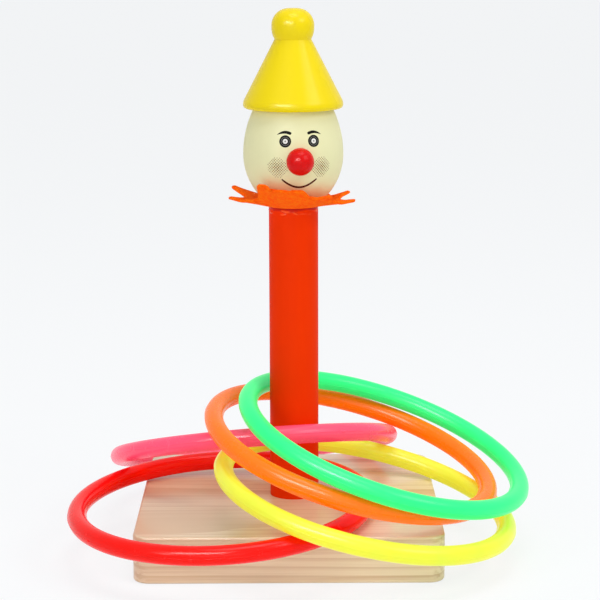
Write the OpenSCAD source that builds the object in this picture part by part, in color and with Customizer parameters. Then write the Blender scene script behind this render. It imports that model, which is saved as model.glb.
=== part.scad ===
// Ring toss game: a turned wooden clown on a post, a square base board and five plastic rings
// in a heap round the post. Millimetres, +Z up, origin on the post's axis at the board's underside.
// The clown's face and the player stand on the -Y side.

/* [Base board] */
// Width and depth of the square board
board_w = 152; // [130:1:180]
// Thickness of the board
board_t = 23.5; // [20:0.5:30]
// Radius of the board's corners, seen from above
board_corner_r = 8; // [5:0.5:20]
// Radius worked along the top and bottom edges
board_edge_r = 1.25; // [1:0.25:4]
// Distance along X from the post to the middle of the board
board_shift = -2.8; // [-5:0.1:5]
// Depth of the socket that takes the foot of the post
socket_depth = 12; // [8:0.5:13]

/* [Post] */
// Diameter of the post
post_d = 25; // [20:0.5:30]
// Height of the post above the board
post_h = 151; // [110:1:200]
// Chamfer round the top edge of the post
post_chamfer = 0.8; // [0.2:0.1:2]

/* [Screw and dowels] */
// Shank diameter of the wood screw under the board
screw_d = 4; // [3:0.5:5]
// Length of the wood screw, head included
screw_length = 35; // [30:1:45]
// Diameter of the countersunk screw head
screw_head_d = 9; // [7.5:0.5:11]
// Depth of the screw head's face below the underside
screw_sunk = 2; // [1:0.25:3]
// Length of the point of the screw
screw_point = 6; // [3:0.5:8]
// Diameter of the two birch dowels
dowel_d = 8; // [6:0.5:10]
// Chamfer at the ends of the dowels
dowel_chamfer = 0.8; // [0.2:0.1:1.5]
// Length of the neck dowel inside the post
neck_in_post = 15; // [10:1:20]
// Length of the neck dowel inside the head
neck_in_head = 13; // [8:1:14]
// Length of the hat dowel inside the head
hat_in_head = 13; // [8:1:14]
// Length of the hat dowel inside the hat
hat_in_hat = 18; // [10:1:22]

/* [Head and nose] */
// Largest diameter of the head
head_d = 50.4; // [44:0.2:58]
// Height of the head between its two flats
head_h = 47.5; // [44:0.5:58]
// Height of the widest place above the lower flat
head_belly = 24.5; // [22:0.5:30]
// Diameter of the flat on top of the head
head_top_d = 39.6; // [34:0.2:42]
// Diameter of the flat under the head
head_foot_d = 26.5; // [24:0.5:34]
// Turn of the face about the post, to the clown's left
face_turn = 7.5; // [-30:0.5:30]
// Diameter of the ball that makes the nose
nose_d = 13.7; // [10:0.1:17]
// Height of the nose above the lower flat of the head
nose_z = 23.5; // [20:0.5:30]
// Depth of the drilled flat that the nose sits in
nose_seat = 0.8; // [0.4:0.1:1.5]
// Distance from the ball's centre back to its flat
nose_back = 1.8; // [1:0.1:3]
// Diameter of the peg on the nose
nose_peg_d = 4; // [3:0.5:6]
// Length of the peg on the nose
nose_peg = 8; // [5:0.5:10]

/* [Felt collar] */
// Thickness of the felt
felt_t = 1.6; // [1:0.1:2.5]
// Radius of the longest petal's tip, measured flat
petal_reach = 36; // [32:0.5:44]
// Radius at which the cuts between the petals end
petal_notch_r = 24; // [20:0.5:27]
// Width of a petal where the cuts end
petal_w = 12.4; // [10:0.2:14]
// Width of a petal at its tip
petal_tip_w = 3.2; // [2:0.2:5]

/* [Hat] */
// Diameter of the brim
hat_brim_d = 50.3; // [44:0.1:60]
// Radius of the rounded brim above its widest place
hat_edge_r = 6; // [3:0.25:8]
// Radius under the widest place of the brim
hat_under_r = 1.8; // [1:0.1:2.5]
// Height of the hat with its bobble
hat_h = 49.6; // [44:0.1:60]
// Diameter of the bobble
bobble_d = 21.4; // [19:0.2:24]
// Height of the bobble above its widest place
bobble_rise = 9.8; // [9:0.1:10.5]
// Radius of the bobble's shoulder, which leaves a small flat on top
bobble_shoulder_r = 8.5; // [6:0.25:8.75]
// Diameter of the groove under the bobble
hat_neck_d = 18.4; // [16.5:0.1:18.8]

/* [Rings] */
// Diameter of a ring along the middle of its round bar
ring_d = 145; // [138:0.5:160]
// Diameter of the bar
bar_d = 9.5; // [7:0.25:11]

/* [Red ring, lowest] */
// Share of its play on the post by which the ring is pushed off centre
red_slide = 0.95; // [0:0.01:1]
// Direction in which it is pushed, degrees from +X
red_towards = 224; // [0:1:360]
// Tilt of the ring, degrees
red_tilt = 3.5; // [0:0.25:15]
// Direction of its low side, degrees from +X
red_low = 223; // [0:1:360]

/* [Yellow ring, second] */
// Share of its play on the post by which the ring is pushed off centre
yellow_slide = 0.98; // [0:0.01:1]
// Direction in which it is pushed, degrees from +X
yellow_towards = 314; // [0:1:360]
// Tilt of the ring, degrees
yellow_tilt = 12.75; // [0:0.25:20]
// Direction of its low side, degrees from +X
yellow_low = 344; // [0:1:360]

/* [Pink ring, third] */
// Share of its play on the post by which the ring is pushed off centre
pink_slide = 0.95; // [0:0.01:1]
// Direction in which it is pushed, degrees from +X
pink_towards = 117; // [0:1:360]
// Tilt of the ring, degrees
pink_tilt = 18.75; // [0:0.25:22]
// Direction of its low side, degrees from +X
pink_low = 104; // [0:1:360]

/* [Orange ring, fourth] */
// Share of its play on the post by which the ring is pushed off centre
orange_slide = 0.63; // [0:0.01:1]
// Direction in which it is pushed, degrees from +X
orange_towards = 335; // [0:1:360]
// Tilt of the ring, degrees
orange_tilt = 16.5; // [0:0.25:22]
// Direction of its low side, degrees from +X
orange_low = 340; // [0:1:360]

/* [Green ring, on top] */
// Share of its play on the post by which the ring is pushed off centre
green_slide = 0.97; // [0:0.01:1]
// Direction in which it is pushed, degrees from +X
green_towards = 340; // [0:1:360]
// Tilt of the ring, degrees
green_tilt = 18.75; // [0:0.25:22]
// Direction of its low side, degrees from +X
green_low = 341; // [0:1:360]

/* [Fits] */
// Glue gap between a dowel, peg or screw and its hole
glue_gap = 0.1; // [0.05:0.05:0.3]
// Gap that is left where a ring lies on the board or on another ring
rest_gap = 0.35; // [0.3:0.05:1]
// Least gap between a ring and the post
post_gap = 1.5; // [0.5:0.1:4]

/* [Hidden] */
$fn = 96;

// Heights of the stack on the post
post_foot_z = board_t - socket_depth;
post_top_z = board_t + post_h;
head_foot_z = post_top_z + felt_t;
belly_z = head_foot_z + head_belly;
head_top_z = head_foot_z + head_h;
hat_top_z = head_top_z + hat_h;

// Egg outline of the head: two arcs that meet upright at the widest place
head_r = head_d / 2;
head_upper_r = arc_radius(head_r - head_top_d / 2, head_h - head_belly);
head_lower_r = arc_radius(head_r - head_foot_d / 2, head_belly);

// Seat of the nose on the head, measured from the post's axis along the face's direction
nose_seat_x = head_r - nose_seat;
nose_back_r = sqrt(pow(nose_d / 2, 2) - pow(nose_back, 2));
nose_at_z = head_foot_z + nose_z;
face_direction = face_turn - 90;

// Outline of the hat: the side runs from the groove, tangent to the rounded brim
bobble_r = bobble_d / 2;
bobble_z = hat_top_z - bobble_rise;
shoulder = [bobble_r - bobble_shoulder_r, hat_top_z - bobble_shoulder_r];
groove = [hat_neck_d / 2, bobble_z - sqrt(pow(bobble_r, 2) - pow(hat_neck_d / 2, 2))];
under_centre = [hat_brim_d / 2 - hat_under_r, head_top_z + hat_under_r];
brim_centre = [hat_brim_d / 2 - hat_edge_r, under_centre.y];
to_groove = groove - brim_centre;
tangent_angle = atan2(to_groove.y, to_groove.x) - acos(hat_edge_r / norm(to_groove));
brim_tangent = brim_centre + hat_edge_r * [cos(tangent_angle), sin(tangent_angle)];

// Screw from the underside: clearance hole, countersunk seat and pilot hole share these sizes
screw_cone_h = (screw_head_d - screw_d) / 2;
screw_tip_z = screw_sunk + screw_length;
screw_shank_z = screw_tip_z - screw_point;

// Petals as they were cut by hand: direction from the face, reach as a share, and lift in degrees
PETALS = [
    [3.5, 0.86, 37], [32.5, 0.81, 24], [66.5, 0.9, 7], [94.5, 0.85, 14], [122.5, 0.91, 14],
    [150.5, 0.89, 16], [178.5, 0.92, 13], [206.5, 0.93, 15], [236.5, 1, 15], [265.5, 0.92, 8],
    [291.5, 0.86, 17], [317.5, 0.95, 38], [339.5, 0.86, 35]
];

// Petals bend up just outside the flat of the head
collar_disc_r = head_foot_d / 2 + felt_t;
petal_root_r = head_foot_d / 2 + felt_t / 2;

// The heap, from the lowest ring to the top one
RED = 0;
YELLOW = 1;
PINK = 2;
ORANGE = 3;
GREEN = 4;
ring_slide = [red_slide, yellow_slide, pink_slide, orange_slide, green_slide];
ring_towards = [red_towards, yellow_towards, pink_towards, orange_towards, green_towards];
ring_tilt = [red_tilt, yellow_tilt, pink_tilt, orange_tilt, green_tilt];
ring_low = [red_low, yellow_low, pink_low, orange_low, green_low];
ring_r = ring_d / 2;
bar_r = bar_d / 2;
heap_steps = 180;
settle_rounds = 8;
ring_z = heap(GREEN);

// Radius of an arc that starts upright and moves inwards by "inset" over the height "rise"
function arc_radius(inset, rise) = (rise * rise + inset * inset) / (2 * inset);

// Unit normal of a ring and two unit directions in its plane: level, and straight down the slope
function ring_normal(i) = [
    sin(ring_tilt[i]) * cos(ring_low[i]),
    sin(ring_tilt[i]) * sin(ring_low[i]),
    cos(ring_tilt[i])
];
function ring_level(i) = [-sin(ring_low[i]), cos(ring_low[i]), 0];
function ring_slope(i) = cross(ring_level(i), ring_normal(i));

// Centre of a ring at the height z: the hole has this much play round the post
function ring_play(i) = (ring_r - bar_r) * cos(ring_tilt[i]) - post_d / 2 - post_gap;
function ring_centre(i, z) = let (off = ring_play(i) * ring_slide[i])
    [off * cos(ring_towards[i]), off * sin(ring_towards[i]), z];
function ring_point(i, z, a) =
    ring_centre(i, z) + ring_r * (cos(a) * ring_level(i) + sin(a) * ring_slope(i));

// Height by which a point of a ring's middle line has to rise to clear the board, its edge, or the table
function rise_over_board(p) =
    let (reach = bar_r + rest_gap)
    let (straight = board_w / 2 - board_corner_r)
    let (past = norm([max(abs(p.x - board_shift) - straight, 0), max(abs(p.y) - straight, 0)]))
    let (beside = max(past - board_corner_r, 0))
    (beside < reach ? board_t + sqrt(reach * reach - beside * beside) : reach) - p.z;

// Height by which a point of a ring's middle line has to rise to clear a ring below it
function rise_over_ring(p, j, z) =
    let (reach = bar_d + rest_gap)
    let (n = ring_normal(j))
    let (v = p - ring_centre(j, z))
    let (above = v * n)
    let (beside = norm(v - above * n) - ring_r)
    abs(beside) < reach ? (sqrt(reach * reach - beside * beside) - above) / n.z : -ring_d;

// A ring comes down with its tilt kept until it meets the board or a ring below it
function ring_rise(i, z, below) = max([
    for (k = [0 : heap_steps - 1])
        let (p = ring_point(i, z, 360 * k / heap_steps))
        max([rise_over_board(p), for (j = [0 : 1 : len(below) - 1]) rise_over_ring(p, j, below[j])])
]);
function settle(i, z, below, rounds) =
    rounds == 0 ? z : settle(i, z + ring_rise(i, z, below), below, rounds - 1);
function heap(i) = i < 0 ? [] :
    let (below = heap(i - 1))
    let (start = i == 0 ? board_t + ring_r : below[i - 1] + bar_d)
    concat(below, [settle(i, start, below, settle_rounds)]);

// Rectangle with round corners, centred
module rounded_rectangle(w, h, r) {
    square([w - 2 * r, h], center = true);
    square([w, h - 2 * r], center = true);
    for (x = [-1, 1], y = [-1, 1]) {
        translate([x * (w / 2 - r), y * (h / 2 - r)])
            circle(r);
    }
}

// Slab whose straight edges and round corners all carry the same edge radius
module rounded_slab(w, t, corner_r, edge_r) {
    run = w - 2 * corner_r;
    for (turn = [0, 90]) {
        rotate([90, 0, turn])
            linear_extrude(run, center = true)
                rounded_rectangle(w, t, edge_r);
    }
    for (x = [-1, 1], y = [-1, 1]) {
        translate([x * run / 2, y * run / 2, 0])
            rotate_extrude()
                intersection() {
                    rounded_rectangle(2 * corner_r, t, edge_r);
                    translate([0, -t / 2])
                        square([corner_r, t]);
                }
    }
}

// Hole for a dowel, peg or screw, with the glue gap all round
module glued_hole(d, depth) {
    cylinder(h = depth, d = d + 2 * glue_gap);
}

// Round bar along +Z with both ends chamfered
module chamfered_bar(d, h, chamfer) {
    cylinder(h = chamfer, d1 = d - 2 * chamfer, d2 = d);
    translate([0, 0, chamfer])
        cylinder(h = h - 2 * chamfer, d = d);
    translate([0, 0, h - chamfer])
        cylinder(h = chamfer, d1 = d, d2 = d - 2 * chamfer);
}

module base_board() {
    color("burlywood")
        difference() {
            translate([board_shift, 0, board_t / 2])
                rounded_slab(board_w, board_t, board_corner_r, board_edge_r);
            translate([0, 0, post_foot_z])
                glued_hole(post_d, board_t);
            translate([0, 0, -glue_gap])
                cylinder(h = screw_sunk + 2 * glue_gap, d = screw_head_d + 2 * glue_gap);
            translate([0, 0, screw_sunk])
                cylinder(h = screw_cone_h, d1 = screw_head_d + 2 * glue_gap, d2 = screw_d + 2 * glue_gap);
            glued_hole(screw_d, board_t);
        }
}

module post() {
    color("orangered")
        difference() {
            translate([0, 0, post_foot_z])
                chamfered_bar(post_d, post_top_z - post_foot_z, post_chamfer);
            glued_hole(screw_d, screw_shank_z + glue_gap);
            translate([0, 0, screw_shank_z + glue_gap])
                cylinder(h = screw_point, d1 = screw_d + 2 * glue_gap, d2 = 2 * glue_gap);
            translate([0, 0, post_top_z - neck_in_post - glue_gap])
                glued_hole(dowel_d, neck_in_post + 2 * glue_gap);
        }
}

module post_screw() {
    color("silver") {
        translate([0, 0, screw_sunk])
            cylinder(h = screw_cone_h, d1 = screw_head_d, d2 = screw_d);
        translate([0, 0, screw_sunk + screw_cone_h])
            cylinder(h = screw_shank_z - screw_sunk - screw_cone_h, d = screw_d);
        translate([0, 0, screw_shank_z])
            cylinder(h = screw_point, d1 = screw_d, d2 = 0);
    }
}

module neck_dowel() {
    color("wheat")
        translate([0, 0, post_top_z - neck_in_post])
            chamfered_bar(dowel_d, neck_in_post + felt_t + neck_in_head, dowel_chamfer);
}

// One felt petal along +X, lying flat from its bend: it narrows past the cuts to a round tip
module petal(reach) {
    straight = reach - petal_tip_w / 2;
    linear_extrude(felt_t) {
        polygon([
            [petal_root_r, -petal_w / 2],
            [petal_notch_r, -petal_w / 2],
            [straight, -petal_tip_w / 2],
            [straight, petal_tip_w / 2],
            [petal_notch_r, petal_w / 2],
            [petal_root_r, petal_w / 2]
        ]);
        translate([straight, 0])
            circle(d = petal_tip_w);
    }
}

// The felt is cut as a star, pinched between post and head, and its petals are turned up
module felt_collar() {
    color("darkorange")
        translate([0, 0, post_top_z])
            difference() {
                union() {
                    cylinder(h = felt_t, r = collar_disc_r);
                    for (one = PETALS) {
                        rotate([0, 0, face_direction + one[0]])
                            translate([petal_root_r, 0, 0])
                                rotate([0, -one[2], 0])
                                    translate([-petal_root_r, 0, 0])
                                        petal(petal_reach * one[1]);
                    }
                }
                translate([0, 0, -glue_gap])
                    glued_hole(dowel_d, felt_t + 2 * glue_gap);
            }
}

// Half outline of the head, to be turned about the post's axis
module head_outline() {
    translate([0, belly_z]) {
        intersection() {
            translate([head_r - head_upper_r, 0])
                circle(head_upper_r);
            square([head_r, head_h - head_belly]);
        }
        intersection() {
            translate([head_r - head_lower_r, 0])
                circle(head_lower_r);
            translate([0, -head_belly])
                square([head_r, head_belly]);
        }
    }
}

// Moves a piece that points along +X to the seat of the nose
module at_nose() {
    rotate([0, 0, face_direction])
        translate([nose_seat_x, 0, nose_at_z])
            rotate([0, 90, 0])
                children();
}

module head() {
    color("lemonchiffon")
        difference() {
            rotate_extrude()
                head_outline();
            translate([0, 0, head_foot_z - glue_gap])
                glued_hole(dowel_d, neck_in_head + 2 * glue_gap);
            translate([0, 0, head_top_z - hat_in_head - glue_gap])
                glued_hole(dowel_d, hat_in_head + 2 * glue_gap);
            at_nose()
                cylinder(h = nose_d, r = nose_back_r + glue_gap);
            at_nose()
                translate([0, 0, -nose_peg - glue_gap])
                    glued_hole(nose_peg_d, nose_peg + 2 * glue_gap);
        }
}

module nose() {
    color("red")
        at_nose() {
            intersection() {
                translate([0, 0, nose_back])
                    sphere(d = nose_d);
                translate([-nose_d, -nose_d, 0])
                    cube(2 * nose_d);
            }
            translate([0, 0, -nose_peg])
                cylinder(h = nose_peg + nose_back, d = nose_peg_d);
        }
}

// Half outline of the hat, to be turned about the post's axis
module hat_outline() {
    polygon([
        [0, head_top_z],
        [under_centre.x, head_top_z],
        under_centre,
        brim_centre,
        brim_tangent,
        groove,
        [0, groove.y]
    ]);
    translate(under_centre)
        circle(hat_under_r);
    intersection() {
        translate(brim_centre)
            circle(hat_edge_r);
        translate(brim_centre)
            square(hat_edge_r);
    }
    intersection() {
        translate([0, bobble_z])
            circle(bobble_r);
        translate([0, bobble_z - bobble_r])
            square([bobble_r, bobble_r]);
    }
    translate([0, bobble_z])
        square([bobble_r, shoulder.y - bobble_z]);
    translate([0, shoulder.y])
        square([shoulder.x, bobble_shoulder_r]);
    intersection() {
        translate(shoulder)
            circle(bobble_shoulder_r);
        translate([0, shoulder.y])
            square([bobble_r, bobble_shoulder_r]);
    }
}

module hat() {
    color("gold")
        difference() {
            rotate_extrude()
                hat_outline();
            translate([0, 0, head_top_z - glue_gap])
                glued_hole(dowel_d, hat_in_hat + 2 * glue_gap);
        }
}

module hat_dowel() {
    color("wheat")
        translate([0, 0, head_top_z - hat_in_head])
            chamfered_bar(dowel_d, hat_in_head + hat_in_hat, dowel_chamfer);
}

// One moulded ring of the heap, in its place
module moulded_ring(i) {
    translate(ring_centre(i, ring_z[i]))
        rotate([0, ring_tilt[i], ring_low[i]])
            rotate_extrude()
                translate([ring_r, 0])
                    circle(bar_r);
}

module ring_red() {
    color("red")
        moulded_ring(RED);
}

module ring_yellow() {
    color("yellow")
        moulded_ring(YELLOW);
}

module ring_pink() {
    color("hotpink")
        moulded_ring(PINK);
}

module ring_orange() {
    color("orange")
        moulded_ring(ORANGE);
}

module ring_green() {
    color("springgreen")
        moulded_ring(GREEN);
}

base_board();
post();
post_screw();
neck_dowel();
felt_collar();
head();
nose();
hat();
hat_dowel();
ring_red();
ring_yellow();
ring_pink();
ring_orange();
ring_green();
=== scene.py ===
# %% [markdown]
# # Dressing a clown ring toss
# The frame holds the solids of the game at real size: board, post, head, hat, nose and five rings.
# This lesson gives each surface its finish and adds what a solid leaves out: the printed face, the
# soft felt collar, the puckered paint below it, the thread of the hidden screw and the marks that
# moulding leaves on the rings.
# Nothing in the frame is moved, and every new piece takes its place from the frame itself.
# Sizes are written in millimetres, as a maker would, and MM turns them into Blender's metres.

import math
from collections import namedtuple

import bmesh
import bpy
import numpy as np
from mathutils import Matrix, Vector, noise


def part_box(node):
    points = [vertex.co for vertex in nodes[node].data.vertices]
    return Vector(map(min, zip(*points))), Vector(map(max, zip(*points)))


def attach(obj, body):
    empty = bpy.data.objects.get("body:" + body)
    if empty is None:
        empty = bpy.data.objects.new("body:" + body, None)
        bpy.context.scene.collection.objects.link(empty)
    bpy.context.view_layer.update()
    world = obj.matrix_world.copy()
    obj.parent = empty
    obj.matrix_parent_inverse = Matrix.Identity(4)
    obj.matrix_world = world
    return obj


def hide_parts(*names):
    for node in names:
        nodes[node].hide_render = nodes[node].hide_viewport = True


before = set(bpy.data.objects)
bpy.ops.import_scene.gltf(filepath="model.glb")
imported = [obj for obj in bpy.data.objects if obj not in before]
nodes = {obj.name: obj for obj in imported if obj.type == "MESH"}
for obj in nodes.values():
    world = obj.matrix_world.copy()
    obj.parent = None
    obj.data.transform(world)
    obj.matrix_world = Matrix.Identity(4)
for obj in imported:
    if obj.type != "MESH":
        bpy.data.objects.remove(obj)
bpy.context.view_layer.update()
scene = bpy.context.scene
scene.view_settings.view_transform = "Standard"
MM = 0.001

# %% [markdown]
# ## The camera
# A long lens a metre away keeps the upright edges of the post parallel, as in a product picture.
# A camera could be aimed with a Track To constraint, but that leaves no say over the roll, so it is
# turned by three plain angles: rolled on its own axis, tipped down from level, then panned.

# %% Camera
PITCH_DOWN = math.radians(10.98)
PAN_RIGHT = math.radians(0.18)
ROLL = math.radians(-0.17)
CAMERA_PLACE = (0, -1.00756, 0.32102)
LENS_MM, SENSOR_MM = 120.645, 36

camera = bpy.data.objects.new("camera", bpy.data.cameras.new("camera"))
scene.collection.objects.link(camera)
camera.matrix_world = (
    Matrix.Translation(CAMERA_PLACE) @ Matrix.Rotation(-PAN_RIGHT, 4, "Z")
    @ Matrix.Rotation(math.pi / 2 - PITCH_DOWN, 4, "X") @ Matrix.Rotation(ROLL, 4, "Z")
)
camera.data.sensor_width = SENSOR_MM
camera.data.lens = LENS_MM
camera.data.clip_start = 0.05
scene.camera = camera
print("camera:", round(camera.data.lens, 1), "mm lens at", [round(v, 3) for v in camera.location])

# %% [markdown]
# ## Small helpers for node trees
# A tree can be wired by hand in the editor, but one in a script can be read, repeated and changed.
# It reads best when one line makes a node, sets it and wires it. `add` does that: a value that is a
# socket becomes a wire, and any other value is set on the input. `calc` is one step of arithmetic.

# %% Node helpers
def add(tree, kind, values=None, **attributes):
    made = tree.nodes.new(kind)
    for name, value in attributes.items():
        setattr(made, name, value)
    for key, value in (values or {}).items():
        if isinstance(value, bpy.types.NodeSocket):
            tree.links.new(value, made.inputs[key])
        else:
            made.inputs[key].default_value = value
    return made


def calc(tree, operation, a, b=0.0):
    return add(tree, "ShaderNodeMath", {0: a, 1: b}, operation=operation).outputs[0]


print("helpers: add, calc")

# %% [markdown]
# ## Floor and room
# The game stands on a plain pale floor that runs far enough back to fill the picture.
# What the camera and the shiny surfaces see of floor and room is lifted towards white. More light
# would whiten them too, but it would also wash out the game, so the lift is kept from the rays that
# light it.

# %% Floor
FLOOR_REACH, FLOOR_Z, FLOOR_LIFT = 40.0, -0.0001, 0.8


def seen_directly(tree, share):
    ray = add(tree, "ShaderNodeLightPath").outputs
    seen = calc(tree, "MAXIMUM", ray["Is Camera Ray"], ray["Is Glossy Ray"])
    return calc(tree, "MULTIPLY", calc(tree, "MAXIMUM", seen, ray["Is Transmission Ray"]), share)


corners = [(-1, -1), (1, -1), (1, 1), (-1, 1)]
floor = bpy.data.objects.new("floor", bpy.data.meshes.new("floor"))
floor.data.from_pydata(
    [(x * FLOOR_REACH, y * FLOOR_REACH, FLOOR_Z) for x, y in corners], [], [(0, 1, 2, 3)]
)
scene.collection.objects.link(floor)
floor_skin = bpy.data.materials.new("floor_white")
floor_skin.use_nodes = True
floor_tree = floor_skin.node_tree
floor_base = floor_tree.nodes["Principled BSDF"]
floor_base.inputs["Base Color"].default_value = (0.93, 0.94, 0.945, 1)
floor_base.inputs["Roughness"].default_value = 0.8
floor_base.inputs["Specular IOR Level"].default_value = 0.2
floor_glow = add(floor_tree, "ShaderNodeEmission", {"Color": (0.97, 0.985, 1, 1), "Strength": 1.0})
lifted = add(
    floor_tree, "ShaderNodeMixShader",
    {0: seen_directly(floor_tree, FLOOR_LIFT), 1: floor_base.outputs[0], 2: floor_glow.outputs[0]},
)
floor_tree.links.new(lifted.outputs[0], floor_tree.nodes["Material Output"].inputs["Surface"])
floor.data.materials.append(floor_skin)
print("floor:", 2 * FLOOR_REACH, "m wide")

# %% Room
ROOM_LIFT, ROOM_LIGHT = 0.33, 0.47

world = bpy.data.worlds.new("white room")
world.use_nodes = True
world_tree = world.node_tree
room = world_tree.nodes["Background"].inputs
room["Color"].default_value = (0.985, 0.99, 1, 1)
strength = calc(world_tree, "ADD", seen_directly(world_tree, ROOM_LIFT), ROOM_LIGHT)
world_tree.links.new(strength, room["Strength"])
scene.world = world
print("room:", ROOM_LIGHT, "as a light,", round(ROOM_LIGHT + ROOM_LIFT, 2), "where it is seen")

# %% [markdown]
# ## Light
# A wide, soft sun lights the whole floor evenly, which lamps close by can't do. Four soft boxes
# shape the game: the one to the right draws the stripe on the hat, those in front and above lift
# face and rings, and a small one on the left fills the shadows.
# A fifth box only adds shine: it is hidden from diffuse light, so it draws a streak on the rings, the
# nose and the brim and leaves the colours as they are. It hangs close by, in front and to the left,
# where the cone of the hat doesn't mirror it.

# %% Lights
# Each soft box: place and aim, width and height, all in metres, and watts.
SOFT_BOXES = {
    "key_right": ((0.95, -0.60, 1.05), (0, 0, 0.15), 0.7, 0.5, 4.5),
    "fill_left": ((-0.85, -0.95, 0.60), (0, 0, 0.18), 0.26, 0.40, 2.0),
    "fill_front": ((-0.1, -1.8, 0.40), (0, 0, 0.16), 1.2, 0.4, 2.3),
    "top_box": ((0.1, -0.2, 1.3), (0, 0, 0), 0.65, 0.55, 4.2),
    "shine_only": ((-0.22, -0.56, 0.50), (0, -0.05, 0.03), 0.42, 0.16, 4.5),
}
for name, (place, aim, width, height, watts) in SOFT_BOXES.items():
    light = bpy.data.lights.new(name, "AREA")
    light.shape = "RECTANGLE"
    light.size, light.size_y, light.energy = width, height, watts
    lamp = bpy.data.objects.new(name, light)
    lamp.location = place
    lamp.rotation_euler = (Vector(aim) - Vector(place)).to_track_quat("-Z", "Y").to_euler()
    if name == "shine_only":
        lamp.visible_diffuse = False
        lamp.visible_camera = False
    scene.collection.objects.link(lamp)

sun = bpy.data.objects.new("wide_sun", bpy.data.lights.new("wide_sun", "SUN"))
sun.data.energy = 0.4
sun.data.angle = math.radians(110)
sun.rotation_euler = (math.radians(22), math.radians(8), 0)
scene.collection.objects.link(sun)
print("lights:", len(bpy.data.lights))

# %% [markdown]
# ## Patterns
# Grain, paint, plastic and felt each get a shader group. A picture could show them too, but it has
# seams and blurs close up, so every pattern here is noise in space, which has neither.
# The helpers name what such a group does again and again: stretch a place, fill it with clouds, pick
# out a range, weigh patterns against each other and tint between two colours.

# %% Pattern helpers
def stretched(tree, vector, factors):
    return add(tree, "ShaderNodeVectorMath", {0: vector, 1: factors}, operation="MULTIPLY").outputs[0]


def clouds(tree, vector, scale, detail, **more):
    values = {"Vector": vector, "Scale": scale, "Detail": detail, **more}
    return add(tree, "ShaderNodeTexNoise", values).outputs["Fac"]


def ramp(tree, value, low, high, bottom=0.0, top=1.0, **attributes):
    values = {"Value": value, "From Min": low, "From Max": high, "To Min": bottom, "To Max": top}
    return add(tree, "ShaderNodeMapRange", values, **attributes).outputs["Result"]


def weigh(tree, *parts):
    total = 0.0
    for value, weight in parts:
        terms = {0: value, 1: weight, 2: total}
        total = add(tree, "ShaderNodeMath", terms, operation="MULTIPLY_ADD").outputs[0]
    return total


def tinted(tree, share, first, second):
    return add(tree, "ShaderNodeMix", {0: share, 6: first, 7: second}, data_type="RGBA").outputs[2]


def object_place(tree):
    return add(tree, "ShaderNodeTexCoord").outputs["Object"]


print("pattern helpers ready")

# %% Group helpers
def new_group(name, kind, inputs, outputs):
    tree = bpy.data.node_groups.new(name, kind)
    for title, form, value in inputs:
        socket = tree.interface.new_socket(title, in_out="INPUT", socket_type="NodeSocket" + form)
        if value is not None:
            socket.default_value = value
    for title, form in outputs:
        tree.interface.new_socket(title, in_out="OUTPUT", socket_type="NodeSocket" + form)
    return tree, tree.nodes.new("NodeGroupInput").outputs, tree.nodes.new("NodeGroupOutput").inputs


def give(tree, given, **sockets):
    for title, socket in sockets.items():
        tree.links.new(socket, given[title])


# Every shader group puts out the same three things.
SKIN = [("Colour", "Color"), ("Roughness", "Float"), ("Height", "Float")]
print("a shader group gives", [title for title, form in SKIN])

# %% [markdown]
# ## Wood that shows its grain
# Wood is a stack of growth rings round a pith. A picture of wood would fit one face only, so the
# shader measures the distance from a pith line and repeats it: pale early wood fades into darker
# late wood and then starts again sharply, on every face alike.
# Streaks and fine fibres run along the grain, and painted shade darkens one end of a board.
# The grain runs along X of the vector that comes in, so one group serves boards and dowels.

# %% Wood grain group
# How often each pattern repeats, per metre along the grain and across it.
DRIFT, FIBRE, STREAK = (4, 28, 28), (45, 1700, 1700), (9, 620, 620)
LATE_SHARE, FIBRE_SHARE, STREAK_SHARE = 0.55, 0.3, 0.45
# Painted shade at one end sets in at the first place along the grain and is full at the second, in
# metres.
END_SHADE_STARTS, END_SHADE_FULL = 0.01, -0.08

wood_tree, taken, given = new_group(
    "Wood grain", "ShaderNodeTree",
    [("Vector", "Vector", None), ("Early", "Color", (0.8, 0.6, 0.4, 1)),
     ("Late", "Color", (0.6, 0.4, 0.2, 1)), ("Ring width", "Float", 0.002),
     ("Wander", "Float", 0.002), ("Gloss", "Float", 0.3), ("Heartwood", "Float", 0.0)],
    SKIN,
)
drift = clouds(wood_tree, stretched(wood_tree, taken["Vector"], DRIFT), 1.0, 2.0)
fibre = clouds(wood_tree, stretched(wood_tree, taken["Vector"], FIBRE), 1.0, 3.0)
streak = clouds(wood_tree, stretched(wood_tree, taken["Vector"], STREAK), 1.0, 3.0)
axes = add(wood_tree, "ShaderNodeSeparateXYZ", {0: taken["Vector"]}).outputs
squares = [calc(wood_tree, "POWER", axes[title], 2.0) for title in ("Y", "Z")]
far = calc(wood_tree, "SQRT", calc(wood_tree, "ADD", *squares))
far = weigh(wood_tree, (far, 1.0), (drift, taken["Wander"]))
phase = calc(wood_tree, "FRACT", calc(wood_tree, "DIVIDE", far, taken["Ring width"]))
late = ramp(wood_tree, phase, 0.45, 0.96, interpolation_type="SMOOTHSTEP")
share = weigh(
    wood_tree, (late, LATE_SHARE), (fibre, FIBRE_SHARE),
    (ramp(wood_tree, streak, 0.48, 0.63), STREAK_SHARE),
)
end_shade = ramp(wood_tree, axes["X"], END_SHADE_STARTS, END_SHADE_FULL, top=taken["Heartwood"])
grain_and_end_shade = calc(wood_tree, "ADD", share, end_shade)
give(
    wood_tree, given, Colour=tinted(wood_tree, grain_and_end_shade, taken["Early"], taken["Late"]),
    Roughness=weigh(wood_tree, (taken["Gloss"], 1.0), (fibre, 0.12)), Height=share,
)
print("group:", wood_tree.name)

# %% [markdown]
# ## Paint on turned wood
# Dipped paint is never perfectly flat: fibres that run up the piece show through a little, the
# lathe leaves faint rings, and the wet film dries with a fine orange peel.
# Each paint could have a tree of its own, but hat, head, nose, post and the printed inks differ only
# in strength, so they share this group.

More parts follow.
